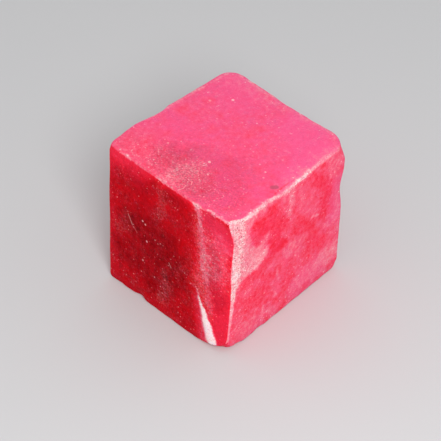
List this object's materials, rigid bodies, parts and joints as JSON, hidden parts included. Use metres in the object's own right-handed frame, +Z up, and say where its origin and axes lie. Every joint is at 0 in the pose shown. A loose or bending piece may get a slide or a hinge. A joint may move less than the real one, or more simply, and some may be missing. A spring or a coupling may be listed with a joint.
{
  "type": "ruby crystal",
  "caption": "Loose block of natural rough ruby with flat frosted sides, worn edges and small chips, resting on a flat underside.",
  "frame": {"origin": "middle of the stone's footprint box, on the surface it rests on", "axes": "+Z up through the top side, -Y out of the side with the upright fold, +X out of the side to its right"},
  "size_m": [0.0148, 0.0158, 0.0156],
  "materials": {
    "ruby": "satin"
  },
  "bodies": {
    "root": {"ruby_crystal": "ruby"}
  },
  "joints": []
}
